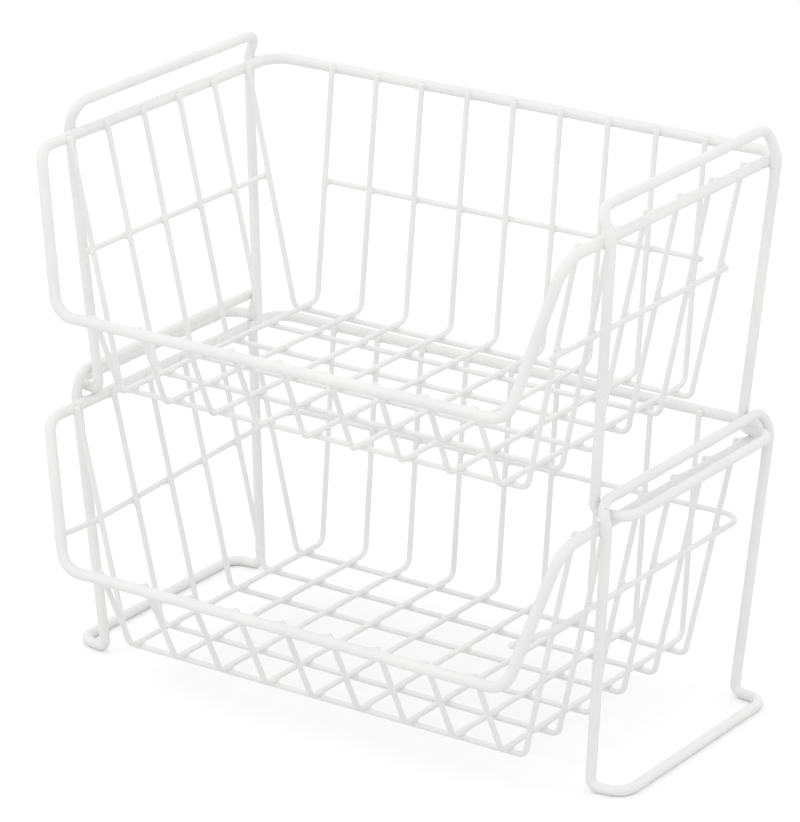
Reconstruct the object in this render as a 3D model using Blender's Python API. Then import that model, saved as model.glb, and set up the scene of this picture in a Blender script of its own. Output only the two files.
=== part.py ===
# Two stacking baskets bent and welded from white coated steel wire, one standing
# on the rim of the other. +X is to the right, -Y is the open front, +Z is up.
# Each basket has a heavy rim loop that drops at the front into a low bar, six thin
# wires across its width, nine thin wires along its depth, thin wires round the
# middle of its walls, and a heavy leg frame welded to each side of the rim.

import math

import bmesh
import bpy
from mathutils import Quaternion, Vector

MM = 0.001

# Wire sizes, measured over the coating
RIM_WIRE = 6.0 * MM
LEG_WIRE = 5.5 * MM
THIN_WIRE = 3.0 * MM

# Space left between wires that are welded, and between the two baskets
WELD_GAP = 0.3 * MM
STACK_GAP = 0.6 * MM

# Rim loop, between wire centres; heights are above the basket's own zero, which is
# about the height of its bottom
RIM_WIDTH = 318.8 * MM
RIM_DEPTH = 200.6 * MM
RIM_HEIGHT = 125.3 * MM
FRONT_BAR_WIDTH = 276.0 * MM
FRONT_BAR_REACH = 17.9 * MM
FRONT_BAR_HEIGHTS = {"lower": 51.8 * MM, "upper": 44.5 * MM}
RIM_BACK_BEND = 13.0 * MM
RIM_FRONT_BENDS = (9.0 * MM, 16.0 * MM)
FRONT_BAR_BEND = 13.0 * MM

# Thin wires of the walls and the bottom, where the wires along lie on the wires across.
# The first wire across lies behind the turn of the front wall, and as many follow as
# leave the grid's edge free. The rise is that of the middle of the grid over the zero.
BOTTOM_RISES = {"lower": 1.65 * MM, "upper": -2.6 * MM}
BOTTOM_WIDTH = 252.5 * MM
BOTTOM_BACKS = {"lower": 82.2 * MM, "upper": 79.2 * MM}
BOTTOM_FRONTS = {"lower": 89.7 * MM, "upper": 93.7 * MM}
WIDTH_WIRE_FIRST = 7.7 * MM
WIDTH_WIRE_PITCH = 30.5 * MM
DEPTH_WIRE_PITCH = 29.3 * MM
GRID_EDGE = 5.0 * MM
THIN_BEND = 5.0 * MM
BACK_THIN_BEND = 5.5 * MM
TIP_RISE = 1.5 * MM
FRONT_TIP_RISE = 0.3 * MM

# Wires round the middle of the walls
UPPER_LEFT_BAND = 67.5 * MM
UPPER_BACK_BAND = 64.0 * MM
UPPER_RIGHT_BAND = 70.0 * MM
BAND_OVERHANG = 3.0 * MM
LEFT_BAND_OVERHANG = 1.5 * MM
RIGHT_BAND_OVERHANG = 10.0 * MM
LOWER_BAND_HEIGHTS = (66.0 * MM, 73.0 * MM, 74.5 * MM, 75.0 * MM)
LOWER_BAND_BEND = 12.0 * MM
LOWER_BAND_OVERRUNS = (-1.5 * MM, 3.5 * MM)

# Leg frames, alike below the rim: the posts stand in from the rim's two ends, the
# toes in from the posts, and the ends of the foot in from the toes
LEG_FRONT = 30.7 * MM
LEG_BACK = 14.7 * MM
TOE_FRONT = 4.2 * MM
TOE_BACK = 11.2 * MM
TOE_INSET = 11.0 * MM
FOOT_DROP = 16.0 * MM
FOOT_REACH = 18.9 * MM
FOOT_FRONT = 3.0 * MM
FOOT_BACK = 0.9 * MM
SHOULDER_RISE = 3.0 * MM
SHOULDER_BEND = 14.0 * MM
TOE_BEND = 5.0 * MM
FOOT_BEND = 10.0 * MM

# Raised bars differ from frame to frame: height above the rim, lean inward, bend
RAISED_RISES = {
    "lower_left": 16.8 * MM,
    "lower_right": 14.4 * MM,
    "upper_left": 16.2 * MM,
    "upper_right": 17.4 * MM,
}
RAISED_INSETS = {
    "lower_left": 3.7 * MM,
    "lower_right": 3.7 * MM,
    "upper_left": 5.6 * MM,
    "upper_right": 5.9 * MM,
}
RAISED_BENDS = {
    "lower_left": 5.0 * MM,
    "lower_right": 8.0 * MM,
    "upper_left": 9.0 * MM,
    "upper_right": 7.0 * MM,
}

# The upper basket stands this far back of the lower one
STACK_SHIFT = 1.5 * MM

# Fineness of the tubes: sides round the wire and the largest turn between rings
HEAVY_SIDES = 12
THIN_SIDES = 8
HEAVY_TURN = math.radians(18.0)
THIN_TURN = math.radians(26.0)

COATING = (0.82, 0.82, 0.81, 1.0)

rim_radius = RIM_WIRE / 2
leg_radius = LEG_WIRE / 2
thin_radius = THIN_WIRE / 2
half_width = RIM_WIDTH / 2
half_depth = RIM_DEPTH / 2
half_bottom = BOTTOM_WIDTH / 2
bar_y = -(half_depth + FRONT_BAR_REACH)
layer_step = (THIN_WIRE + WELD_GAP) / 2
rim_to_thin = rim_radius + thin_radius + WELD_GAP
thin_to_thin = THIN_WIRE + WELD_GAP
leg_x = half_width + rim_radius + leg_radius + WELD_GAP
post_front = half_depth - LEG_FRONT
post_back = half_depth - LEG_BACK
toe_front = post_front - TOE_FRONT
toe_back = post_back - TOE_BACK
foot_front = toe_front - FOOT_FRONT
foot_back = toe_back - FOOT_BACK

# How many wires the bottom takes, and where the outermost ones lie
width_wire_first = WIDTH_WIRE_FIRST - min(BOTTOM_FRONTS.values())
width_wire_room = min(BOTTOM_BACKS.values()) - GRID_EDGE - width_wire_first
width_wires = 1 + int(width_wire_room / WIDTH_WIRE_PITCH)
width_wire_last = width_wire_first + WIDTH_WIRE_PITCH * (width_wires - 1)
depth_wires = 1 + 2 * int((half_bottom - GRID_EDGE) / DEPTH_WIRE_PITCH)
depth_wire_last = DEPTH_WIRE_PITCH * (depth_wires - 1) / 2

# The flat facet under a foot bar lies nearer the wire's centre than its edges do
foot_flat = leg_radius * math.cos(math.pi / HEAVY_SIDES)
ground = FOOT_DROP + foot_flat

# The toes rest on the rim below where they bend outward over it
toe_swing = math.pi / 2 + math.atan(TOE_INSET / (FOOT_DROP + RIM_HEIGHT))
toe_centre_x = leg_x - TOE_INSET + TOE_BEND * math.tan(toe_swing / 2)
toe_reach = TOE_BEND + rim_radius + leg_radius + STACK_GAP
toe_height = math.sqrt(toe_reach ** 2 - max(toe_centre_x - half_width, 0) ** 2)
stack_pitch = RIM_HEIGHT + toe_height - TOE_BEND + FOOT_DROP

# The origin is under the middle of the whole stack
middle_y = (half_depth + STACK_SHIFT + bar_y) / 2


def rounded_path(corners, bends, turn, closed):
    """Replace each corner of a path by an arc of the bend radius given for it."""
    path = []
    count = len(corners)
    for index, corner in enumerate(corners):
        bend = bends[index]
        if bend == 0 or (not closed and index in (0, count - 1)):
            path.append(corner.copy())
            continue
        to_last = corners[index - 1] - corner
        to_next = corners[(index + 1) % count] - corner
        room = min(to_last.length, to_next.length) / 2
        to_last.normalize()
        to_next.normalize()
        angle = to_last.angle(to_next)
        swing = math.pi - angle
        reach = min(bend * math.tan(swing / 2), room)
        radius = reach / math.tan(swing / 2)
        centre = corner + (to_last + to_next).normalized() * radius / math.cos(swing / 2)
        axis = to_next.cross(to_last).normalized()
        start = corner + to_last * reach - centre
        steps = max(2, math.ceil(swing / turn))
        for step in range(steps + 1):
            path.append(centre + Quaternion(axis, swing * step / steps) @ start)
    return path


def sweep_wire(path, radius, sides, closed, facing):
    """Build a closed tube along a path, with one facet of its first ring facing a way."""
    count = len(path)
    runs = []
    for index in range(count if closed else count - 1):
        runs.append((path[(index + 1) % count] - path[index]).normalized())
    tangents = []
    for index in range(count):
        if closed:
            tangents.append((runs[index - 1] + runs[index]).normalized())
        elif index == 0:
            tangents.append(runs[0])
        elif index == count - 1:
            tangents.append(runs[-1])
        else:
            tangents.append((runs[index - 1] + runs[index]).normalized())

    side = facing - tangents[0] * facing.dot(tangents[0])
    side.normalize()
    first_side = side.copy()
    normals = [side.copy()]
    turned = [0.0]
    for index in range(1, count + 1 if closed else count):
        swing = tangents[index - 1].rotation_difference(tangents[index % count])
        side = swing @ side
        normals.append(side.copy())
        turned.append(turned[-1] + tangents[index - 1].angle(tangents[index % count]))

    # A closed wire comes back turned about itself, which the bends take up
    closing = 0.0
    if closed:
        across = tangents[0].cross(first_side)
        closing = math.atan2(side.dot(across), side.dot(first_side))

    mesh = bmesh.new()
    rings = []
    for index in range(count):
        twist = Quaternion(tangents[index], -closing * turned[index] / max(turned[-1], 1e-9))
        out = twist @ normals[index]
        ring = []
        for k in range(sides):
            angle = 2 * math.pi * (k + 0.5) / sides
            ring.append(mesh.verts.new(path[index] + Quaternion(tangents[index], angle) @ out * radius))
        rings.append(ring)
    for index in range(count if closed else count - 1):
        ring = rings[index]
        following = rings[(index + 1) % count]
        for k in range(sides):
            after = (k + 1) % sides
            mesh.faces.new((ring[k], ring[after], following[after], following[k]))
    if not closed:
        mesh.faces.new(reversed(rings[0]))
        mesh.faces.new(rings[-1])
    bmesh.ops.recalc_face_normals(mesh, faces=mesh.faces)
    return mesh


def coated_steel(name):
    """White coating as the photograph shows it: matt white with a soft sheen."""
    material = bpy.data.materials.new(name)
    material.use_nodes = True
    shader = material.node_tree.nodes["Principled BSDF"]
    shader.inputs["Base Color"].default_value = COATING
    shader.inputs["Roughness"].default_value = 0.38
    shader.inputs["Metallic"].default_value = 0.0
    material.diffuse_color = COATING
    return material


def add_wire(name, path, radius, sides, parent, closed=False, facing=Vector((0, 0, -1)), pivot=None):
    """Make one wire a named object under its parent, with its origin at the pivot."""
    pivot = pivot or Vector((0, 0, 0))
    shape = sweep_wire([point - pivot for point in path], radius, sides, closed, facing)
    data = bpy.data.meshes.new(name)
    shape.to_mesh(data)
    shape.free()
    data.shade_smooth()
    data.set_sharp_from_angle(angle=math.radians(50.0))
    data.materials.append(coated_steel("coating_" + name))
    wire = bpy.data.objects.new(name, data)
    wire.parent = parent
    wire.location = pivot
    bpy.context.collection.objects.link(wire)
    return wire


def add_empty(name, location):
    empty = bpy.data.objects.new(name, None)
    empty.location = location
    bpy.context.collection.objects.link(empty)
    return empty


def lean_against(foot, centre, clearance, overrun):
    """End of a straight wire from a foot, laid beside a round bar, in one plane.

    The wire passes the bar's centre at the clearance, on the side of smaller
    distance from the basket's middle, and runs on past it by the overrun.
    """
    span = (centre[0] - foot[0], centre[1] - foot[1])
    length = math.hypot(*span)
    tilt = math.asin(clearance / length)
    heading = math.atan2(span[1], span[0]) + tilt
    reach = length * math.cos(tilt) + overrun
    return foot[0] + math.cos(heading) * reach, foot[1] + math.sin(heading) * reach


def line_at(start, end, height):
    """Distance of a leaning wire from the middle at a height."""
    share = (height - start[1]) / (end[1] - start[1])
    return start[0] + (end[0] - start[0]) * share


def band_place(start, end, height):
    """Where a band wire lies against the outer side of a leaning wall."""
    run = math.hypot(end[0] - start[0], end[1] - start[1])
    return line_at(start, end, height) + thin_to_thin * run / (end[1] - start[1])


# Feet and ends of each basket's wall wires, as distance from the middle and height
side_feet, back_feet, front_feet = {}, {}, {}
side_ends, back_ends, front_ends = {}, {}, {}
for basket, rise in BOTTOM_RISES.items():
    side_feet[basket] = (half_bottom, rise - layer_step)
    back_feet[basket] = (BOTTOM_BACKS[basket], rise + layer_step)
    front_feet[basket] = (BOTTOM_FRONTS[basket], rise + layer_step)
    side_bar = (half_width, RIM_HEIGHT)
    back_bar = (half_depth, RIM_HEIGHT)
    front_bar = (-bar_y, FRONT_BAR_HEIGHTS[basket])
    side_ends[basket] = lean_against(side_feet[basket], side_bar, rim_to_thin, TIP_RISE)
    back_ends[basket] = lean_against(back_feet[basket], back_bar, rim_to_thin, TIP_RISE)
    front_ends[basket] = lean_against(front_feet[basket], front_bar, rim_to_thin, FRONT_TIP_RISE)


def add_rim(prefix, parent):
    half_bar = FRONT_BAR_WIDTH / 2
    bar_height = FRONT_BAR_HEIGHTS[prefix]
    corners = [
        Vector((0, half_depth, RIM_HEIGHT)),
        Vector((-half_width, half_depth, RIM_HEIGHT)),
        Vector((-half_width, -half_depth, RIM_HEIGHT)),
        Vector((-half_bar, bar_y, bar_height)),
        Vector((half_bar, bar_y, bar_height)),
        Vector((half_width, -half_depth, RIM_HEIGHT)),
        Vector((half_width, half_depth, RIM_HEIGHT)),
    ]
    left_bend, right_bend = RIM_FRONT_BENDS
    bends = [
        0, RIM_BACK_BEND, left_bend, FRONT_BAR_BEND,
        FRONT_BAR_BEND, right_bend, RIM_BACK_BEND,
    ]
    path = rounded_path(corners, bends, HEAVY_TURN, True)
    add_wire(f"{prefix}_rim", path, rim_radius, HEAVY_SIDES, parent, closed=True)


def add_leg_frame(frame, side, parent):
    """One closed loop: foot bar, toes, posts past the rim, shoulders, raised bar.

    The posts lean in and together towards the toes. They touch the rim's outer
    side at its height, and bend inward at the shoulders just above it.
    """
    lean_share = SHOULDER_RISE / (FOOT_DROP + RIM_HEIGHT)
    foot_x = side * (leg_x - TOE_INSET + FOOT_REACH)
    toe_x = side * (leg_x - TOE_INSET)
    shoulder_x = side * (leg_x + TOE_INSET * lean_share)
    shoulder_z = RIM_HEIGHT + SHOULDER_RISE
    raised_x = side * (leg_x - RAISED_INSETS[frame])
    raised_z = RIM_HEIGHT + RAISED_RISES[frame]
    corners = [
        Vector((foot_x, (foot_back - foot_front) / 2, -FOOT_DROP)),
        Vector((foot_x, foot_back, -FOOT_DROP)),
        Vector((toe_x, toe_back, -FOOT_DROP)),
        Vector((shoulder_x, post_back, shoulder_z)),
        Vector((raised_x, post_back, raised_z)),
        Vector((raised_x, -post_front, raised_z)),
        Vector((shoulder_x, -post_front, shoulder_z)),
        Vector((toe_x, -toe_front, -FOOT_DROP)),
        Vector((foot_x, -foot_front, -FOOT_DROP)),
    ]
    bends = [
        0, FOOT_BEND, TOE_BEND, SHOULDER_BEND, RAISED_BENDS[frame],
        RAISED_BENDS[frame], SHOULDER_BEND, TOE_BEND, FOOT_BEND,
    ]
    path = rounded_path(corners, bends, HEAVY_TURN, True)
    pivot = Vector((side * leg_x, (post_back - post_front) / 2, RIM_HEIGHT))
    name = f"{frame}_leg_frame"
    add_wire(name, path, leg_radius, HEAVY_SIDES, parent, closed=True, pivot=pivot)


def add_width_wires(prefix, parent):
    bends = [0, THIN_BEND, THIN_BEND, 0]
    side_foot, side_end = side_feet[prefix], side_ends[prefix]
    for index in range(width_wires):
        y = width_wire_first + WIDTH_WIRE_PITCH * index
        corners = [
            Vector((-side_end[0], y, side_end[1])),
            Vector((-side_foot[0], y, side_foot[1])),
            Vector((side_foot[0], y, side_foot[1])),
            Vector((side_end[0], y, side_end[1])),
        ]
        path = rounded_path(corners, bends, THIN_TURN, False)
        add_wire(f"{prefix}_width_wire_{index + 1}", path, thin_radius, THIN_SIDES, parent,
                 facing=Vector((0, 1, 0)))


def add_depth_wires(prefix, parent):
    bends = [0, THIN_BEND, BACK_THIN_BEND, 0]
    front_foot, front_end = front_feet[prefix], front_ends[prefix]
    back_foot, back_end = back_feet[prefix], back_ends[prefix]
    for index in range(depth_wires):
        x = DEPTH_WIRE_PITCH * index - depth_wire_last
        corners = [
            Vector((x, -front_end[0], front_end[1])),
            Vector((x, -front_foot[0], front_foot[1])),
            Vector((x, back_foot[0], back_foot[1])),
            Vector((x, back_end[0], back_end[1])),
        ]
        path = rounded_path(corners, bends, THIN_TURN, False)
        add_wire(f"{prefix}_depth_wire_{index + 1}", path, thin_radius, THIN_SIDES, parent,
                 facing=Vector((1, 0, 0)))


def add_straight_bands(prefix, parent):
    """Three straight wires, one against the outside of each closed wall.

    The left one ends flush with the first wire that it crosses, and the right one with
    the last.
    """
    left_start = width_wire_first - LEFT_BAND_OVERHANG
    left_end = width_wire_last + BAND_OVERHANG
    right_start = width_wire_first - RIGHT_BAND_OVERHANG
    right_end = width_wire_last + thin_radius
    side_wall = (side_feet[prefix], side_ends[prefix])
    left_x = -band_place(*side_wall, UPPER_LEFT_BAND)
    path = [Vector((left_x, left_start, UPPER_LEFT_BAND)), Vector((left_x, left_end, UPPER_LEFT_BAND))]
    add_wire(f"{prefix}_left_band_wire", path, thin_radius, THIN_SIDES, parent)
    right_x = band_place(*side_wall, UPPER_RIGHT_BAND)
    path = [Vector((right_x, right_start, UPPER_RIGHT_BAND)), Vector((right_x, right_end, UPPER_RIGHT_BAND))]
    add_wire(f"{prefix}_right_band_wire", path, thin_radius, THIN_SIDES, parent)
    y = band_place(back_feet[prefix], back_ends[prefix], UPPER_BACK_BAND)
    half = depth_wire_last + BAND_OVERHANG
    path = [Vector((-half, y, UPPER_BACK_BAND)), Vector((half, y, UPPER_BACK_BAND))]
    add_wire(f"{prefix}_back_band_wire", path, thin_radius, THIN_SIDES, parent)


def beside_post(side, bar_height, start, overrun):
    """End of a band wire that runs level from its last turn to a front post of the rim.

    It passes on the left of the post, a weld gap from it, and runs on by the overrun.
    """
    foot = Vector((side * FRONT_BAR_WIDTH / 2, bar_y, bar_height))
    post = Vector((side * half_width, -half_depth, RIM_HEIGHT)) - foot
    place = foot + post * (start.z - bar_height) / post.z
    place.x -= rim_to_thin
    across = post.cross(place - start)
    place.x += rim_to_thin - rim_to_thin * across.length / abs(across.x)
    return place + (place - start).normalized() * overrun


def add_bent_band(prefix, parent):
    """One wire round three walls, from behind one front post to inside the other."""
    left_front, left_back, right_back, right_front = LOWER_BAND_HEIGHTS
    left_overrun, right_overrun = LOWER_BAND_OVERRUNS
    bar_height = FRONT_BAR_HEIGHTS[prefix]
    side_wall = (side_feet[prefix], side_ends[prefix])
    back_y = band_place(back_feet[prefix], back_ends[prefix], (left_back + right_back) / 2)
    first_y = width_wire_first - BAND_OVERHANG
    left_turn = Vector((-band_place(*side_wall, left_front), first_y, left_front))
    right_turn = Vector((band_place(*side_wall, right_front), first_y, right_front))
    corners = [
        beside_post(-1, bar_height, left_turn, left_overrun),
        left_turn,
        Vector((-band_place(*side_wall, left_back), back_y, left_back)),
        Vector((band_place(*side_wall, right_back), back_y, right_back)),
        right_turn,
        beside_post(1, bar_height, right_turn, right_overrun),
    ]
    bends = [0, LOWER_BAND_BEND, LOWER_BAND_BEND, LOWER_BAND_BEND, LOWER_BAND_BEND, 0]
    path = rounded_path(corners, bends, THIN_TURN, False)
    add_wire(f"{prefix}_band_wire", path, thin_radius, THIN_SIDES, parent)


def add_basket(prefix, location):
    basket = add_empty(f"{prefix}_basket", location)
    add_rim(prefix, basket)
    add_leg_frame(f"{prefix}_left", -1, basket)
    add_leg_frame(f"{prefix}_right", 1, basket)
    add_width_wires(prefix, basket)
    add_depth_wires(prefix, basket)
    return basket


for thing in list(bpy.data.objects):
    bpy.data.objects.remove(thing)

lower = add_basket("lower", Vector((0, -middle_y, ground)))
add_bent_band("lower", lower)
upper = add_basket("upper", Vector((0, STACK_SHIFT - middle_y, ground + stack_pitch)))
add_straight_bands("upper", upper)
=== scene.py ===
import math

import bpy
import numpy as np
from mathutils import Matrix, Vector


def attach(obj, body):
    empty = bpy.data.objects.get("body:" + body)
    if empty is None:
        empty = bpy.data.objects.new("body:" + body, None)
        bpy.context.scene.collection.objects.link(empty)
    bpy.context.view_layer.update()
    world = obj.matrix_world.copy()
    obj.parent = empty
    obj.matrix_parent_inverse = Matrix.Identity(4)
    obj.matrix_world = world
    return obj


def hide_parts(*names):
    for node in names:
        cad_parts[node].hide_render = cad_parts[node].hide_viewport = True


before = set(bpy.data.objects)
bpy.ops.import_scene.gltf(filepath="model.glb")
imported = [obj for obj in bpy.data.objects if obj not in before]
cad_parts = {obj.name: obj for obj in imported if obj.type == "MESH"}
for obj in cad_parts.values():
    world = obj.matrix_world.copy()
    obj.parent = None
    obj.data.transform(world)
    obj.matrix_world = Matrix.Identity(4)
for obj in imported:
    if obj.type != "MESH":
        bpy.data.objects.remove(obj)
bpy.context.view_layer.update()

# Two stacking baskets of white dip-coated steel wire. Every wire is one swept tube.
# Sizes are millimetres and angles degrees. A basket's own zero is under its middle, at
# about the height of its bottom: x to the right, y to the back, z up.
metresPerMillimetre = 0.001
weldGap = 0.3  # between two wires that are welded together; the coating's web bridges it
tiny = 1e-9    # keeps a division from being by nothing
hair = 1e-6    # a length that doesn't count

# Where the two baskets stand
stackPlaces = {
    "lower": np.array([0.0, 8.2, 18.6563]),
    "upper": np.array([0.0, 9.7, 166.2972]),
}

# The coating's form and the rings that it is drawn with, the same on every wire
coatingForm = {
    "webWidth": 3.3,        # how far the web at a weld reaches along the wires
    "webRounds": 6,         # how often the web is worked out anew on its own face
    "webChords": 4,         # nearest straight parts of other wires that it reaches for
    "weldReach": 2.2,       # how far from a weld the coating looks thicker
    "swellShare": 0.012,    # how much thicker and thinner the coating runs
    "swellLength": 27.0,    # from one thick place to the next
    "secondSwell": 0.6,     # height of the shorter second wave, as a share of the first
    "secondPhase": 2.3,     # its start, as a multiple of the first one's
    "ovalShare": 0.008,     # how far the coating is out of round
    "wirePhase": 1.7,       # radians that each wire's waves start later than the last one's
    "upperPhase": 0.9,      # radians more on the upper basket
    "endDome": 0.8,         # length of the rounded end, in radii
    "domeRings": (72, 54, 36, 18),  # degrees up the rounded end, whose tip is at 90
    "probeStep": 0.5,       # between the places where the wanted ring spacing is found
    "fineSpacing": 0.42,    # between rings at a weld
    "fineReach": 1.7,       # gap to the next wire up to which the rings stay that fine
    "spacingGrowth": 0.55,  # added to the spacing by each millimetre more of gap
    "coarseSpacing": 6.0,   # between rings on a long straight run
    "bendSpacing": 9.0,     # degrees between rings in a bend
    "chordTurn": 15.0,      # degrees of a bend that one straight chord may cross
}


def unitRows(rows):
    # each row divided by its own length
    return rows / np.maximum(np.linalg.norm(rows, axis=-1, keepdims=True), tiny)


def bentRun(corners, bends, closed):
    # A bent wire's middle line as arcs and straight lengths in turn. At a corner that
    # turns by a, a bend of radius b starts and ends b * tan(a / 2) from the corner.
    corners = np.array(corners, float)
    bends = np.array(bends, float)
    toLast = unitRows(np.roll(corners, 1, axis=0) - corners)
    toNext = unitRows(np.roll(corners, -1, axis=0) - corners)
    turn = np.arccos(np.clip(-(toLast * toNext).sum(1), -1, 1))
    turn[bends == 0] = 0
    reach = bends * np.tan(turn / 2)
    inward = unitRows(toNext + toLast * (-(toLast * toNext).sum(1, keepdims=True)))
    straightLength = np.linalg.norm(np.roll(corners, -1, axis=0) - corners, axis=1)
    straightLength = straightLength - reach - np.roll(reach, -1)
    starts = np.stack([corners + toLast * reach[:, None], corners + toNext * reach[:, None]], 1)
    headings = np.stack([-toLast, toNext], 1)
    lengths = np.stack([bends * turn, straightLength], 1)
    curving = np.stack([np.where(bends > 0, 1 / np.maximum(bends, tiny), 0), 0 * bends], 1)
    inwards = np.stack([inward, 0 * inward], 1)
    count = len(corners) * 2
    run = {
        "starts": starts.reshape(count, 3), "headings": headings.reshape(count, 3),
        "lengths": lengths.reshape(count), "curving": curving.reshape(count),
        "inwards": inwards.reshape(count, 3), "closed": closed,
    }
    if not closed:  # an open wire has no length from its last corner back to its first
        run["lengths"][-1] = 0
    run["begins"] = np.concatenate([[0], np.cumsum(run["lengths"])])
    return run


def pieceAt(run, distance):
    # which arc or straight length of the run each distance falls on
    piece = np.searchsorted(run["begins"], distance, side="right") - 1
    return np.clip(piece, 0, len(run["lengths"]) - 1)


def alongRun(run, distance):
    # Point and heading at each distance along the wire. On a piece that curves by k:
    # start + heading * sin(k t) / k + inward * (1 - cos(k t)) / k, a straight one if k is 0.
    piece = pieceAt(run, distance)
    t = (distance - run["begins"][piece])[:, None]
    k = run["curving"][piece][:, None]
    safe = np.maximum(k, tiny)
    ahead = np.where(k > 0, np.sin(k * t) / safe, t)
    aside = np.where(k > 0, (1 - np.cos(k * t)) / safe, 0)
    heading, inward = run["headings"][piece], run["inwards"][piece]
    points = run["starts"][piece] + heading * ahead + inward * aside
    return points, heading * np.cos(k * t) + inward * np.sin(k * t)


def chordsOf(run, radius):
    # The middle line as straight chords: their starts, their ends and the wire's radius
    chordTurn = math.radians(coatingForm["chordTurn"])
    pieces = np.maximum(1, np.ceil(run["lengths"] * run["curving"] / chordTurn)).astype(int)
    pieces[run["lengths"] < hair] = 0
    owner = np.repeat(np.arange(len(pieces)), pieces)
    order = np.arange(len(owner)) - np.repeat(np.cumsum(pieces) - pieces, pieces)
    step = (run["lengths"] / np.maximum(pieces, 1))[owner]
    first = run["begins"][owner] + order * step
    starts = alongRun(run, first + hair)[0]
    ends = alongRun(run, first + step - hair)[0]
    return starts, ends, np.full(len(starts), radius)


def gapToChords(points, starts, ends, radii):
    # Distance from each point to each round chord's face
    span = ends - starts
    share = ((points - starts) * span).sum(-1) / np.maximum((span * span).sum(-1), tiny)
    nearest = starts + span * np.clip(share, 0, 1)[..., None]
    return np.linalg.norm(points - nearest, axis=-1) - radii


def ringPlaces(run, radius, neighbours):
    # Distances along the wire at which it gets a ring. The wanted spacing is fine near
    # a weld, follows each bend and is coarse elsewhere; rings stand evenly where the
    # sum of 1 / spacing is taken as the measure of length.
    length = run["begins"][-1]
    probe = np.linspace(0, length, int(length / coatingForm["probeStep"]) + 2)
    points = alongRun(run, probe)[0]
    gap = gapToChords(points[:, None], *(part[None] for part in neighbours)).min(1) - radius
    beyond = np.maximum(gap - coatingForm["fineReach"], 0)
    spacing = coatingForm["fineSpacing"] + coatingForm["spacingGrowth"] * beyond
    curving = np.maximum(run["curving"][pieceAt(run, probe)], tiny)
    spacing = np.minimum(spacing, math.radians(coatingForm["bendSpacing"]) / curving)
    spacing = np.minimum(spacing, coatingForm["coarseSpacing"])
    density = 1 / spacing
    measure = np.concatenate([[0], np.cumsum(np.diff(probe) * (density[1:] + density[:-1]) / 2)])
    count = int(math.ceil(measure[-1]))
    if run["closed"]:
        return np.interp(np.arange(count) * measure[-1] / count, measure, probe)
    dome = radius * coatingForm["endDome"]
    first, last = np.interp([dome, length - dome], probe, measure)
    inner = np.interp(np.linspace(first, last, count), measure, probe)
    rounding = dome * (1 - np.sin(np.radians(coatingForm["domeRings"])))
    return np.concatenate([rounding, inner, length - rounding[::-1]])


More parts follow.
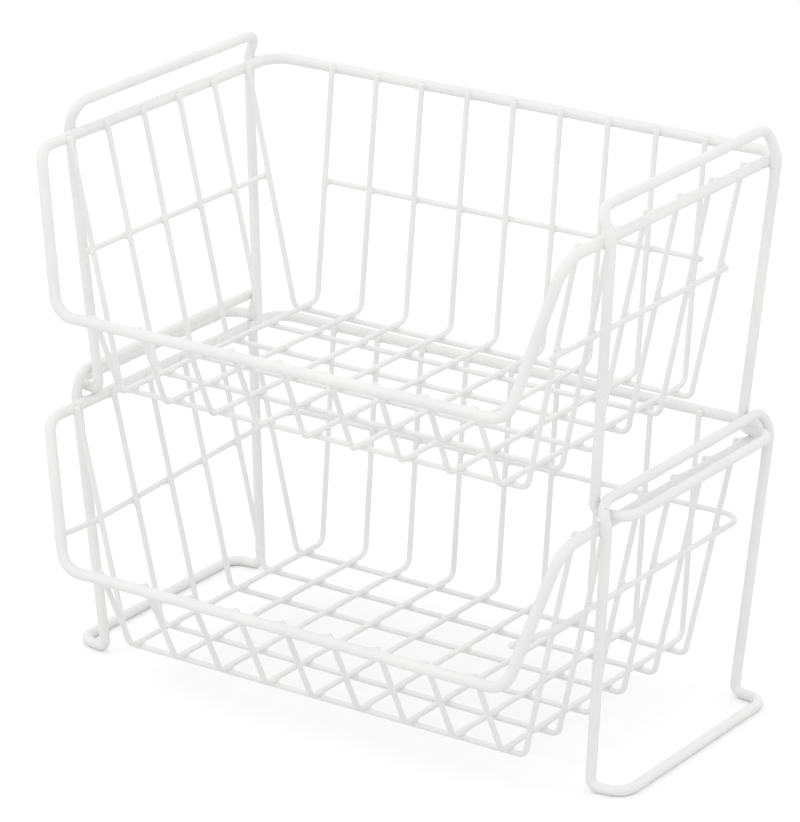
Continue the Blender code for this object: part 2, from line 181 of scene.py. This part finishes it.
def coatedWire(node, body, shape, run, facing, fromMiddle, neighbours, phase):
    # One coated wire: a ring of the shape's radius carried along the middle line. Each
    # ring point lies at middle + (cos a * side + sin a * up) * r, where r is the
    # radius, swelling and thinning in slow waves, plus the web at a weld. The web is
    # the outer face of a smooth union with the nearest wires: it stands
    # k / 4 * (1 - u / k)^2 off the wire, u being how much nearer this wire is than
    # the other. An open end closes in a dome that ends in one point. The side of each
    # ring faces the given way, or away from the given point.
    radius, sides = shape["radius"], shape["sides"]
    length = run["begins"][-1]
    places = ringPlaces(run, radius, neighbours)
    middles, headings = alongRun(run, places)
    towards = middles - facing if fromMiddle else np.broadcast_to(facing, middles.shape)
    side = unitRows(towards - headings * (towards * headings).sum(1, keepdims=True))
    up = np.cross(headings, side)
    angle = 2 * math.pi * np.arange(sides) / sides
    outward = side[:, None] * np.cos(angle)[:, None] + up[:, None] * np.sin(angle)[:, None]

    # slow waves in the coating, whole waves only so that a loop closes
    waves = max(1, round(length / coatingForm["swellLength"]))
    along = 2 * math.pi * places / length
    second = np.sin((2 * waves + 1) * along + coatingForm["secondPhase"] * phase)
    swell = np.sin(waves * along + phase) + coatingForm["secondSwell"] * second
    oval = np.sin(2 * angle + waves * along[:, None] + phase)
    thick = radius * (1 + coatingForm["swellShare"] * swell[:, None] + coatingForm["ovalShare"] * oval)

    taper = np.ones(len(places))
    if not run["closed"]:
        dome = radius * coatingForm["endDome"]
        fromEnd = np.clip(np.minimum(places, length - places) / dome, 0, 1)
        taper = np.sqrt(1 - (1 - fromEnd) ** 2)

    # the web, which settles in a few rounds because it is measured from its own face
    gaps = gapToChords(middles[:, None], *(part[None] for part in neighbours))
    nearest = np.argsort(gaps, axis=1)[:, :coatingForm["webChords"]]
    nearChords = [part[nearest][:, None] for part in neighbours]
    width = coatingForm["webWidth"]
    web = np.zeros(thick.shape)
    for webRound in range(coatingForm["webRounds"]):
        points = middles[:, None] + outward * ((thick + web) * taper[:, None])[..., None]
        other = gapToChords(points[:, :, None], *nearChords)
        nearer = np.clip((other - web[..., None]) / width, 0, 1)
        web = (web + (width / 4 * (1 - nearer) ** 2).max(-1)) / 2
    points = middles[:, None] + outward * ((thick + web) * taper[:, None])[..., None]
    # closeness to a weld, kept on each point for the coating's painted shade where wires meet and its gloss
    # there
    closeness = np.clip(1 - other.min(-1) / coatingForm["weldReach"], 0, 1)

    rings, around = len(places), np.arange(sides)
    last = rings if run["closed"] else rings - 1
    here = np.arange(last)[:, None] * sides
    there = (np.arange(1, last + 1) % rings)[:, None] * sides
    beside = (around + 1) % sides
    corners = [here + around, here + beside, there + beside, there + around]
    faces = np.stack(corners, -1).reshape(-1, 4).tolist()
    vertices, nearWeld = points.reshape(-1, 3), closeness.reshape(-1)
    if not run["closed"]:
        poles = alongRun(run, np.array([0.0, length]))[0]
        first, final = rings * sides, rings * sides + 1
        lastRing = (rings - 1) * sides
        faces += np.stack([around * 0 + first, beside, around], -1).tolist()
        faces += np.stack([around * 0 + final, lastRing + around, lastRing + beside], -1).tolist()
        vertices = np.concatenate([vertices, poles])
        nearWeld = np.concatenate([nearWeld, closeness[[0, -1]].max(1)])

    mesh = bpy.data.meshes.new(node + "_coated")
    mesh.from_pydata((vertices * metresPerMillimetre).tolist(), [], faces)
    attribute = mesh.attributes.new("weldCloseness", "FLOAT", "POINT")
    attribute.data.foreach_set("value", nearWeld.astype(np.float32))
    mesh.polygons.foreach_set("use_smooth", np.ones(len(mesh.polygons), bool))
    mesh.materials.append(shape["coating"])
    wire = bpy.data.objects.new(node + "_coated", mesh)
    bpy.context.collection.objects.link(wire)
    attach(wire, body)
    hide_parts(node)
    return sum(len(face) - 2 for face in faces)


nodePitch = (190, -230)  # across and down a node tree, so that it can be read


def addNode(tree, kind, place, settings=None, inputs=None):
    # one node of any tree, with its settings and what goes into its sockets
    node = tree.nodes.new(kind)
    node.location = (place[0] * nodePitch[0], place[1] * nodePitch[1])
    for key, value in (settings or {}).items():
        setattr(node, key, value)
    for key, value in (inputs or {}).items():
        if isinstance(value, bpy.types.NodeSocket):
            tree.links.new(value, node.inputs[key])
        else:
            node.inputs[key].default_value = value
    return node


def hexColour(text):
    # sRGB hex to linear: c / 12.92 below 0.04045, else ((c + 0.055) / 1.055) ^ 2.4
    channels = [int(text[i:i + 2], 16) / 255 for i in (1, 3, 5)]
    return [c / 12.92 if c <= 0.04045 else ((c + 0.055) / 1.055) ** 2.4 for c in channels] + [1.0]


# Dip-coated steel wire: drawn wire, welded, then dipped in white polymer that flows out
# before it sets. The eye gets a satin white that is almost even, soft lumps a few
# millimetres apart, a little more gloss at the welds with a greyer white painted there as
# shade where the wires meet, and now and then a speck of dust under the skin.
coatingLook = {
    "white": "#F1F1F0",
    "greyer": "#ECECEC",
    # painted shade: a greyer white at the welds, where the wires meet
    "pooled": "#E4E4E2",
    "speck": "#8A8884",
    "roughness": (0.28, 0.38),
    "ior": 1.5,
    "patchSize": 45.0,          # mm, slow change of white
    "patchRange": (0.35, 0.65),  # of the noise: all white below, all greyer above
    "lumpSize": 3.4,            # mm, soft lumps left by the flow
    "lumpRange": (0.3, 0.7),    # of the noise: least rough below, roughest above
    "lumpHeight": 0.018,        # mm
    "thinLumps": 0.6,           # share of that height on the thin wires
    "skinSize": 0.7,            # mm, fine orange peel, drawn a little coarse so that it shows
    "skinHeight": 0.001,        # mm
    "speckSpacing": 26.0,       # mm
    "speckSize": 0.35,          # mm
    "speckCore": 0.6,           # share of the size that is full strength, the rest fades
    "weldShadeFrom": 0.25,         # closeness to a weld at which the painted weld shade sets in
    "pooledMost": 0.8,          # its share right at the weld
    "pooledGloss": 0.8,         # what the weld mask at its full range leaves of the roughness, where the coating pooled glossier
}


mixShare, mixFirst, mixSecond, mixResult = 0, 6, 7, 2  # sockets of a Mix node for colours
millimetresPerMetre = 1000  # a texture's scale is counted in a metre


def dipCoatedSteelWire(name, look, lumpGain):
    material = bpy.data.materials.new(name)
    material.use_nodes = True
    tree = material.node_tree
    tree.nodes.clear()
    place = addNode(tree, "ShaderNodeTexCoord", (0, 0)).outputs["Object"]
    patches = addNode(tree, "ShaderNodeTexNoise", (1, 0), inputs={
        "Vector": place, "Scale": millimetresPerMetre / look["patchSize"], "Detail": 2.0, "Roughness": 0.5})
    lumps = addNode(tree, "ShaderNodeTexNoise", (1, 1), inputs={
        "Vector": place, "Scale": millimetresPerMetre / look["lumpSize"], "Detail": 1.0, "Roughness": 0.4})
    skin = addNode(tree, "ShaderNodeTexNoise", (1, 2), inputs={
        "Vector": place, "Scale": millimetresPerMetre / look["skinSize"], "Detail": 2.0, "Roughness": 0.5})
    dust = addNode(tree, "ShaderNodeTexVoronoi", (1, 3), inputs={
        "Vector": place, "Scale": millimetresPerMetre / look["speckSpacing"], "Randomness": 1.0})
    weld = addNode(tree, "ShaderNodeAttribute", (1, 4), {"attribute_name": "weldCloseness"})

    whitest, greyest = look["patchRange"]
    patchShare = addNode(tree, "ShaderNodeMapRange", (2, 0), inputs={
        "Value": patches.outputs["Fac"], "From Min": whitest, "From Max": greyest})
    plainWhite = addNode(tree, "ShaderNodeMix", (3, 0), {"data_type": "RGBA"}, {
        mixShare: patchShare.outputs["Result"],
        mixFirst: hexColour(look["white"]), mixSecond: hexColour(look["greyer"])})
    # painted shade at the welds: the white turns greyer towards each weld, where the wires meet
    weldShare = addNode(tree, "ShaderNodeMapRange", (2, 4), {"interpolation_type": "SMOOTHSTEP"}, {
        "Value": weld.outputs["Fac"], "From Min": look["weldShadeFrom"], "From Max": 1.0,
        "To Max": look["pooledMost"]})
    weldShadedWhite = addNode(tree, "ShaderNodeMix", (4, 0), {"data_type": "RGBA"}, {
        mixShare: weldShare.outputs["Result"],
        mixFirst: plainWhite.outputs[mixResult], mixSecond: hexColour(look["pooled"])})
    speckEdge = look["speckSize"] / look["speckSpacing"]
    speckShare = addNode(tree, "ShaderNodeMapRange", (2, 3), inputs={
        "Value": dust.outputs["Distance"], "From Min": look["speckCore"] * speckEdge,
        "From Max": speckEdge, "To Min": 1.0, "To Max": 0.0})
    colour = addNode(tree, "ShaderNodeMix", (5, 0), {"data_type": "RGBA"}, {
        mixShare: speckShare.outputs["Result"],
        mixFirst: weldShadedWhite.outputs[mixResult], mixSecond: hexColour(look["speck"])})

    low, high = look["lumpRange"]
    glossy, rough = look["roughness"]
    sheen = addNode(tree, "ShaderNodeMapRange", (3, 1), inputs={
        "Value": lumps.outputs["Fac"], "From Min": low, "From Max": high, "To Min": glossy, "To Max": rough})
    sheenAtWeld = addNode(tree, "ShaderNodeMapRange", (4, 1), inputs={
        "Value": weldShare.outputs["Result"], "To Min": 1.0, "To Max": look["pooledGloss"]})
    roughness = addNode(tree, "ShaderNodeMath", (5, 1), {"operation": "MULTIPLY"}, {
        0: sheen.outputs["Result"], 1: sheenAtWeld.outputs["Result"]})
    lumpBump = addNode(tree, "ShaderNodeBump", (4, 2), inputs={
        "Height": lumps.outputs["Fac"], "Strength": 1.0,
        "Distance": lumpGain * look["lumpHeight"] * metresPerMillimetre})
    skinBump = addNode(tree, "ShaderNodeBump", (5, 2), inputs={
        "Height": skin.outputs["Fac"], "Strength": 1.0,
        "Distance": look["skinHeight"] * metresPerMillimetre, "Normal": lumpBump.outputs["Normal"]})
    shader = addNode(tree, "ShaderNodeBsdfPrincipled", (6, 0), inputs={
        "Base Color": colour.outputs[mixResult], "Roughness": roughness.outputs["Value"],
        "IOR": look["ior"], "Normal": skinBump.outputs["Normal"]})
    addNode(tree, "ShaderNodeOutputMaterial", (7, 0), inputs={"Surface": shader.outputs["BSDF"]})
    return material


heavyCoating = dipCoatedSteelWire("white dip-coated steel wire, 6 mm", coatingLook, 1.0)
thinCoating = dipCoatedSteelWire("white dip-coated steel wire, 3 mm", coatingLook, coatingLook["thinLumps"])
print("Coating materials made")


# The rim: one loop that drops at the front into a low bar. Its rings face away from the
# middle given here, as the rings of the leg frames do from theirs.
rimShape = {
    "radius": 3.0, "sides": 28, "coating": heavyCoating, "middle": (0, -7, 95),
    "width": 318.8, "depth": 200.6, "height": 125.3,
    "barWidth": 276.0, "barReach": 17.9, "barHeight": {"lower": 51.8, "upper": 44.5},
    "backBend": 13.0, "leftBend": 9.0, "rightBend": 16.0, "barBend": 13.0,
}


def rimRun(shape, level):
    # corners of the loop from the middle of the back, round the left side and the bar
    w, d, h = shape["width"] / 2, shape["depth"] / 2, shape["height"]
    b, bh = shape["barWidth"] / 2, shape["barHeight"][level]
    front = -d - shape["barReach"]
    corners = [(0, d, h), (-w, d, h), (-w, -d, h), (-b, front, bh), (b, front, bh), (w, -d, h), (w, d, h)]
    back, bar = shape["backBend"], shape["barBend"]
    return bentRun(corners, [0, back, shape["leftBend"], bar, bar, shape["rightBend"], back], True)


# The leg frames, alike below the rim; each raised bar has its own height, lean and bend.
# Distances to the side are the right frame's, the left one is its mirror image.
legShape = {
    "radius": 2.75, "sides": 28, "coating": heavyCoating, "middle": (163, 8, 65),
    "front": 69.6, "back": 85.6, "toeFront": 65.4, "toeBack": 74.4, "toeInset": 11.0,
    "footDrop": 16.0, "footReach": 18.9, "footFront": 62.4, "footBack": 73.5,
    "shoulderRise": 3.0, "shoulderBend": 14.0, "toeBend": 5.0, "footBend": 10.0,
    "raised": {  # rise above the rim, lean inward, bend
        "lower_left": (16.8, 3.7, 5.0), "lower_right": (14.4, 3.7, 8.0),
        "upper_left": (16.2, 5.6, 9.0), "upper_right": (17.4, 5.9, 7.0),
    },
}


def legRun(shape, whichFrame, s):
    # corners of the loop from the middle of the foot bar, up the back and down the front
    post = rimShape["width"] / 2 + rimShape["radius"] + shape["radius"] + weldGap
    rise, inset, bend = shape["raised"][whichFrame]
    top, low = rimShape["height"], -shape["footDrop"]
    foot, toe = s * (post - shape["toeInset"] + shape["footReach"]), s * (post - shape["toeInset"])
    shoulder = s * (post + shape["toeInset"] * shape["shoulderRise"] / (shape["footDrop"] + top))
    high, raised = top + shape["shoulderRise"], s * (post - inset)
    corners = [
        (foot, (shape["footBack"] - shape["footFront"]) / 2, low), (foot, shape["footBack"], low),
        (toe, shape["toeBack"], low), (shoulder, shape["back"], high), (raised, shape["back"], top + rise),
        (raised, -shape["front"], top + rise), (shoulder, -shape["front"], high),
        (toe, -shape["toeFront"], low), (foot, -shape["footFront"], low),
    ]
    b, t, f = shape["shoulderBend"], shape["toeBend"], shape["footBend"]
    return bentRun(corners, [0, f, t, b, bend, bend, b, t, f], True)


# The thin wires: across the basket from side to side, and along it from front to back,
# the ones along lying on the ones across. The rise is that of the bottom's middle over
# the basket's zero; back and front say how far from the middle the ones along turn up.
gridShape = {
    "radius": 1.5, "sides": 20, "coating": thinCoating,
    "bottomWidth": 252.5, "bottomRise": {"lower": 1.65, "upper": -2.6},
    "bottomBack": {"lower": 82.2, "upper": 79.2}, "bottomFront": {"lower": 89.7, "upper": 93.7},
    "acrossFirst": -82.0, "acrossPitch": 30.5, "acrossCount": 6,
    "alongPitch": 29.3, "alongCount": 9,
    "bend": 5.0, "backBend": 5.5, "tipRise": 1.5, "frontTipRise": 0.3,
}


def leanAgainst(foot, bar, clearance, overrun):
    # A wall wire's end, seen from the side: from its foot it heads for the bar, turned
    # inward by asin(clearance / distance), and runs on past it by the overrun.
    spanX, spanZ = bar[0] - foot[0], bar[1] - foot[1]
    distance = math.hypot(spanX, spanZ)
    tilt = math.asin(clearance / distance)
    heading = math.atan2(spanZ, spanX) + tilt
    reach = distance * math.cos(tilt) + overrun
    return foot[0] + math.cos(heading) * reach, foot[1] + math.sin(heading) * reach


# How far each layer of the bottom is from its middle, how far a thin wire's middle is from
# the rim wire's, and where the rim's bars lie: distance from the middle and height
layer = gridShape["radius"] + weldGap / 2
toRim = rimShape["radius"] + gridShape["radius"] + weldGap
barOut = rimShape["depth"] / 2 + rimShape["barReach"]
sideBar = (rimShape["width"] / 2, rimShape["height"])
backBar = (rimShape["depth"] / 2, rimShape["height"])


def wallLines(shape, level):
    # foot and end of the wires of each wall, as distance from the middle and height
    across, along = shape["bottomRise"][level] - layer, shape["bottomRise"][level] + layer
    frontBar = (barOut, rimShape["barHeight"][level])
    feet = {"side": (shape["bottomWidth"] / 2, across), "back": (shape["bottomBack"][level], along),
            "front": (shape["bottomFront"][level], along)}
    return {
        "side": (feet["side"], leanAgainst(feet["side"], sideBar, toRim, shape["tipRise"])),
        "back": (feet["back"], leanAgainst(feet["back"], backBar, toRim, shape["tipRise"])),
        "front": (feet["front"], leanAgainst(feet["front"], frontBar, toRim, shape["frontTipRise"])),
    }


walls = {level: wallLines(gridShape, level) for level in stackPlaces}


def acrossRun(shape, index, level):
    y = shape["acrossFirst"] + shape["acrossPitch"] * index
    foot, end = walls[level]["side"]
    corners = [(-end[0], y, end[1]), (-foot[0], y, foot[1]), (foot[0], y, foot[1]), (end[0], y, end[1])]
    return bentRun(corners, [0, shape["bend"], shape["bend"], 0], False)


def alongGridRun(shape, index, level):
    x = shape["alongPitch"] * (index - (shape["alongCount"] - 1) / 2)
    frontFoot, frontEnd = walls[level]["front"]
    backFoot, backEnd = walls[level]["back"]
    corners = [(x, -frontEnd[0], frontEnd[1]), (x, -frontFoot[0], frontFoot[1]),
               (x, backFoot[0], backFoot[1]), (x, backEnd[0], backEnd[1])]
    return bentRun(corners, [0, shape["bend"], shape["backBend"], 0], False)


# The wires round the middle: three straight ones above, one bent one below
bandShape = {
    "heights": {"left": 67.5, "back": 64.0, "right": 70.0},
    "pastSides": 3.0,                           # the back one, past the outer wires along
    "pastFront": {"left": 1.5, "right": 10.0},  # the others, past the first wire across
    "pastBack": {"left": 3.0, "right": 1.5},    # and past the last
    "bentHeights": (66.0, 73.0, 74.5, 75.0),    # left front, left back, right back, right front
    "bentPastFront": 3.0,
    "bentBend": 12.0,
    "bentOverruns": (-1.5, 3.5),                # past the left and the right front post
}


def outsideWall(level, side, height):
    # how far out a wire lies that is laid against the outer side of a leaning wall
    start, end = walls[level][side]
    lean = (end[0] - start[0]) / (end[1] - start[1])
    clear = (2 * gridShape["radius"] + weldGap) * math.hypot(lean, 1)
    return start[0] + lean * (height - start[1]) + clear


acrossLast = gridShape["acrossFirst"] + gridShape["acrossPitch"] * (gridShape["acrossCount"] - 1)


def straightBandRun(shape, wall):
    height = shape["heights"][wall]
    if wall == "back":
        half = gridShape["alongPitch"] * (gridShape["alongCount"] - 1) / 2 + shape["pastSides"]
        y = outsideWall("upper", "back", height)
        return bentRun([(-half, y, height), (half, y, height)], [0, 0], False)
    x = outsideWall("upper", "side", height) * (-1 if wall == "left" else 1)
    start = gridShape["acrossFirst"] - shape["pastFront"][wall]
    end = acrossLast + shape["pastBack"][wall]
    return bentRun([(x, start, height), (x, end, height)], [0, 0], False)


def besidePost(s, start, overrun):
    # Where a level wire from the given start ends beside a leaning front post of the
    # lower rim: the post's place at that height, moved to the left until the wires'
    # shortest distance, post x run, is the one of a weld, and on by the overrun.
    foot = np.array([s * rimShape["barWidth"] / 2, -barOut, rimShape["barHeight"]["lower"]])
    post = np.array([s * rimShape["width"] / 2, -rimShape["depth"] / 2, rimShape["height"]]) - foot
    place = foot + post * (start[2] - foot[2]) / post[2]
    across = np.cross(post, place - [toRim, 0, 0] - start)
    place = place - [toRim * np.linalg.norm(across) / abs(across[0]), 0, 0]
    return place + unitRows(place - start) * overrun


def bentBandRun(shape):
    leftFront, leftBack, rightBack, rightFront = shape["bentHeights"]
    leftOverrun, rightOverrun = shape["bentOverruns"]
    firstY = gridShape["acrossFirst"] - shape["bentPastFront"]
    backY = outsideWall("lower", "back", (leftBack + rightBack) / 2)
    leftTurn = np.array([-outsideWall("lower", "side", leftFront), firstY, leftFront])
    rightTurn = np.array([outsideWall("lower", "side", rightFront), firstY, rightFront])
    corners = [
        besidePost(-1, leftTurn, leftOverrun), leftTurn,
        (-outsideWall("lower", "side", leftBack), backY, leftBack),
        (outsideWall("lower", "side", rightBack), backY, rightBack),
        rightTurn, besidePost(1, rightTurn, rightOverrun),
    ]
    bend = shape["bentBend"]
    return bentRun(corners, [0, bend, bend, bend, bend, 0], False)


def basketWires(level):
    # every wire of one basket: node, body, shape, run, facing, and whether its rings
    # face away from a middle point instead of one fixed way
    basket = f"{level}_basket"
    wires = [(f"{level}_rim", basket, rimShape, rimRun(rimShape, level), rimShape["middle"], True)]
    for hand, s in (("left", -1), ("right", 1)):
        body = basket if level == "lower" else f"upper_{hand}_leg"
        x, y, z = legShape["middle"]
        wires.append((f"{level}_{hand}_leg_frame", body, legShape,
                      legRun(legShape, f"{level}_{hand}", s), (s * x, y, z), True))
    for index in range(gridShape["acrossCount"]):
        wires.append((f"{level}_width_wire_{index + 1}", basket, gridShape,
                      acrossRun(gridShape, index, level), (0, 1, 0), False))
    for index in range(gridShape["alongCount"]):
        wires.append((f"{level}_depth_wire_{index + 1}", basket, gridShape,
                      alongGridRun(gridShape, index, level), (1, 0, 0), False))
    if level == "lower":
        wires.append(("lower_band_wire", basket, gridShape, bentBandRun(bandShape), (0, 0, 1), False))
    else:
        for wall in ("left", "right", "back"):
            wires.append((f"upper_{wall}_band_wire", basket, gridShape,
                          straightBandRun(bandShape, wall), (0, 0, 1), False))
    return wires


for level, place in stackPlaces.items():
    wires = basketWires(level)
    chords = []
    for node, body, shape, run, facing, fromMiddle in wires:
        run["starts"] += place
        chords.append(chordsOf(run, shape["radius"]))
    triangles = 0
    for index, (node, body, shape, run, facing, fromMiddle) in enumerate(wires):
        others = chords[:index] + chords[index + 1:]
        neighbours = [np.concatenate(parts) for parts in zip(*others)]
        facing = np.array(facing, float) + (place if fromMiddle else 0)
        phase = coatingForm["wirePhase"] * index + (coatingForm["upperPhase"] if level == "upper" else 0)
        triangles += coatedWire(node, body, shape, run, facing, fromMiddle, neighbours, phase)
    print(f"{level} basket: {len(wires)} wires, {triangles} triangles")


# The studio: a pale matt floor, an even white surround and one broad soft lamp
studio = {
    "floorSize": 8.0,          # m
    "floorWhite": "#E9E9E9",
    "floorGlow": 0.22,         # seen by the camera only, so that the open floor is white
    "surround": 1.03,          # light from all round
    "lampPower": 3.5,          # W
    "lampSize": 0.6,           # m
    "lampPlace": (-1.3, -1.5, 2.3),
    "lampTarget": (0.0, 0.0, 0.15),
}

world = bpy.data.worlds.new("even white surround")
bpy.context.scene.world = world
world.use_nodes = True
world.node_tree.nodes.clear()
path = addNode(world.node_tree, "ShaderNodeLightPath", (0, 0))
surround = addNode(world.node_tree, "ShaderNodeMapRange", (1, 0), inputs={
    "Value": path.outputs["Is Camera Ray"], "To Min": studio["surround"], "To Max": 1.0})
glow = addNode(world.node_tree, "ShaderNodeBackground", (2, 0), inputs={
    "Color": (1, 1, 1, 1), "Strength": surround.outputs["Result"]})
addNode(world.node_tree, "ShaderNodeOutputWorld", (3, 0), inputs={"Surface": glow.outputs["Background"]})

half = studio["floorSize"] / 2
floorCorners = [(-half, -half, 0), (half, -half, 0), (half, half, 0), (-half, half, 0)]
floorMesh = bpy.data.meshes.new("studio floor")
floorMesh.from_pydata(floorCorners, [], [(0, 1, 2, 3)])
floor = bpy.data.objects.new("studio floor", floorMesh)
bpy.context.collection.objects.link(floor)
paper = bpy.data.materials.new("matt white paper")
paper.use_nodes = True
paper.node_tree.nodes.clear()
seen = addNode(paper.node_tree, "ShaderNodeLightPath", (0, 1))
matt = addNode(paper.node_tree, "ShaderNodeBsdfDiffuse", (1, 0), inputs={
    "Color": hexColour(studio["floorWhite"])})
shine = addNode(paper.node_tree, "ShaderNodeMath", (1, 1), {"operation": "MULTIPLY"}, {
    0: seen.outputs["Is Camera Ray"], 1: studio["floorGlow"]})
lit = addNode(paper.node_tree, "ShaderNodeEmission", (2, 1), inputs={"Strength": shine.outputs["Value"]})
both = addNode(paper.node_tree, "ShaderNodeAddShader", (3, 0), inputs={
    0: matt.outputs["BSDF"], 1: lit.outputs["Emission"]})
addNode(paper.node_tree, "ShaderNodeOutputMaterial", (4, 0), inputs={"Surface": both.outputs["Shader"]})
floorMesh.materials.append(paper)

lampData = bpy.data.lights.new("soft lamp", "AREA")
lampData.shape = "DISK"
lampData.size = studio["lampSize"]
lampData.energy = studio["lampPower"]
lamp = bpy.data.objects.new("soft lamp", lampData)
lamp.location = studio["lampPlace"]
lamp.rotation_euler = (Vector(studio["lampTarget"]) - lamp.location).to_track_quat("-Z", "Y").to_euler()
lamp.visible_camera = False
bpy.context.collection.objects.link(lamp)
bpy.context.scene.view_settings.view_transform = "Standard"
print("Studio set")


# The photograph's view, from the front right and above: metres, degrees, and
# millimetres for the lens
photoView = {
    "place": (1.27617, -1.81810, 0.99270),
    "azimuth": 35.074, "elevation": 20.702, "roll": -0.434,
    "sensorWidth": 36.0, "lens": 201.07,
}

turn, lift, roll = (math.radians(photoView[key]) for key in ("azimuth", "elevation", "roll"))
ahead = Vector((-math.sin(turn) * math.cos(lift), math.cos(turn) * math.cos(lift), -math.sin(lift)))
right = Vector((math.cos(turn), math.sin(turn), 0))
above = right.cross(ahead)
tiltedRight = right * math.cos(roll) + above * math.sin(roll)
tiltedAbove = above * math.cos(roll) - right * math.sin(roll)
cameraData = bpy.data.cameras.new("photograph view")
cameraData.sensor_width = photoView["sensorWidth"]
cameraData.lens = photoView["lens"]
camera = bpy.data.objects.new("photograph view", cameraData)
bpy.context.collection.objects.link(camera)
cameraTurn = Matrix((tiltedRight, tiltedAbove, -ahead)).transposed().to_4x4()
camera.matrix_world = Matrix.Translation(photoView["place"]) @ cameraTurn
bpy.context.scene.camera = camera
print("Camera set")
